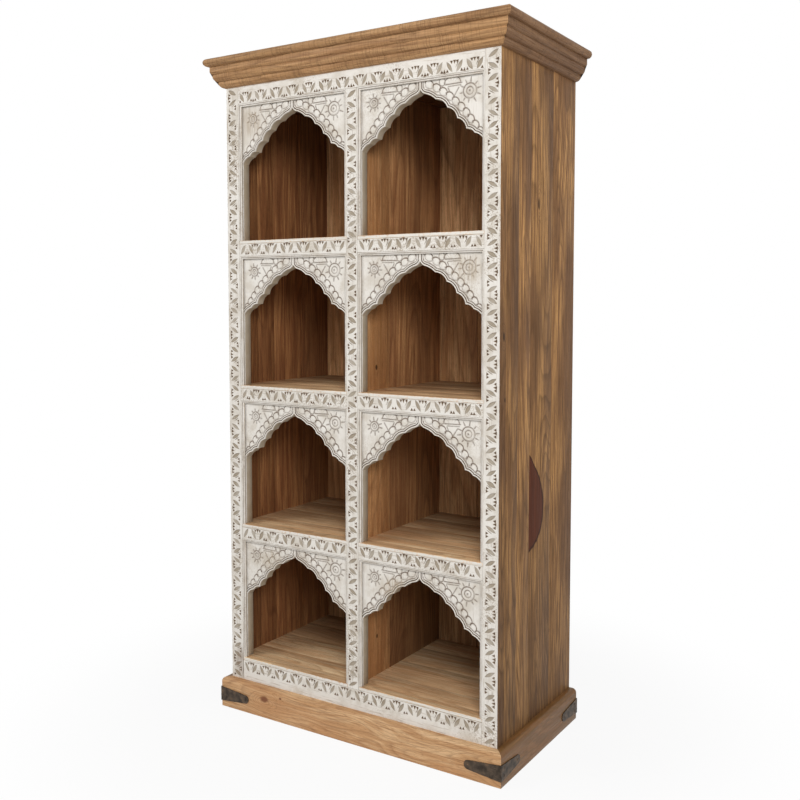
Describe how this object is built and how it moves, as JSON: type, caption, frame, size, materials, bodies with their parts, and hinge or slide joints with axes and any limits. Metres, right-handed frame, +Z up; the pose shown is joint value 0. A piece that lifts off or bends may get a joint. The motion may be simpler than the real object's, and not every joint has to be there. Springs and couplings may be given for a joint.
{
  "type": "cubby shelving unit",
  "caption": "Tall open shelving unit with square cubbies behind a carved, whitewashed face frame of pointed multifoil arches, with a moulded crown and an iron strapped plinth.",
  "frame": {"origin": "on the floor, under the middle of the whole outline, crown, straps and nails included", "axes": "+Z up, -Y towards the open front, +X to the right as seen from the front"},
  "size_m": [0.974, 0.511, 1.8945],
  "materials": {
    "whitewashed_wood": "distressed off white milk paint over carved hardwood, matt, worn through on edges",
    "side_wood": "edge glued mid brown planks with flat sawn grain, waxed",
    "shelf_wood": "light tan planks, waxed",
    "back_wood": "dark brown boards, waxed",
    "inner_wood": "bare sawn wood",
    "crown_wood": "tan moulded wood with tool marks, waxed",
    "plinth_wood": "warm tan burled wood, waxed",
    "forged_iron": "blackened wrought iron, hammered"
  },
  "bodies": {
    "root": {"side_panel_left": "side_wood", "side_panel_right": "side_wood", "partition": "side_wood", "top_board": "shelf_wood", "bottom_board": "shelf_wood", "shelf_left_1": "shelf_wood", "shelf_left_2": "shelf_wood", "shelf_left_3": "shelf_wood", "shelf_right_1": "shelf_wood", "shelf_right_2": "shelf_wood", "shelf_right_3": "shelf_wood", "back_boards": "back_wood", "bottom_cleats": "inner_wood", "crown_blocks": "inner_wood", "stile_left": "whitewashed_wood", "stile_right": "whitewashed_wood", "mullion": "whitewashed_wood", "frieze_rail": "whitewashed_wood", "base_rail": "whitewashed_wood", "rail_left_1": "whitewashed_wood", "rail_left_2": "whitewashed_wood", "rail_left_3": "whitewashed_wood", "rail_right_1": "whitewashed_wood", "rail_right_2": "whitewashed_wood", "rail_right_3": "whitewashed_wood", "arch_left_1": "whitewashed_wood", "arch_left_2": "whitewashed_wood", "arch_left_3": "whitewashed_wood", "arch_left_4": "whitewashed_wood", "arch_right_1": "whitewashed_wood", "arch_right_2": "whitewashed_wood", "arch_right_3": "whitewashed_wood", "arch_right_4": "whitewashed_wood", "bead_left_1": "whitewashed_wood", "bead_left_2": "whitewashed_wood", "bead_left_3": "whitewashed_wood", "bead_left_4": "whitewashed_wood", "bead_right_1": "whitewashed_wood", "bead_right_2": "whitewashed_wood", "bead_right_3": "whitewashed_wood", "bead_right_4": "whitewashed_wood", "cornice_front": "crown_wood", "cornice_left": "crown_wood", "cornice_right": "crown_wood", "bullnose_front": "crown_wood", "bullnose_left": "crown_wood", "bullnose_right": "crown_wood", "crown_board": "crown_wood", "plinth_front": "plinth_wood", "plinth_left": "plinth_wood", "plinth_right": "plinth_wood", "plinth_back": "plinth_wood", "strap_front_left": "forged_iron", "strap_front_right": "forged_iron", "strap_back_left": "forged_iron", "strap_back_right": "forged_iron", "strap_nails": "forged_iron"}
  },
  "joints": []
}
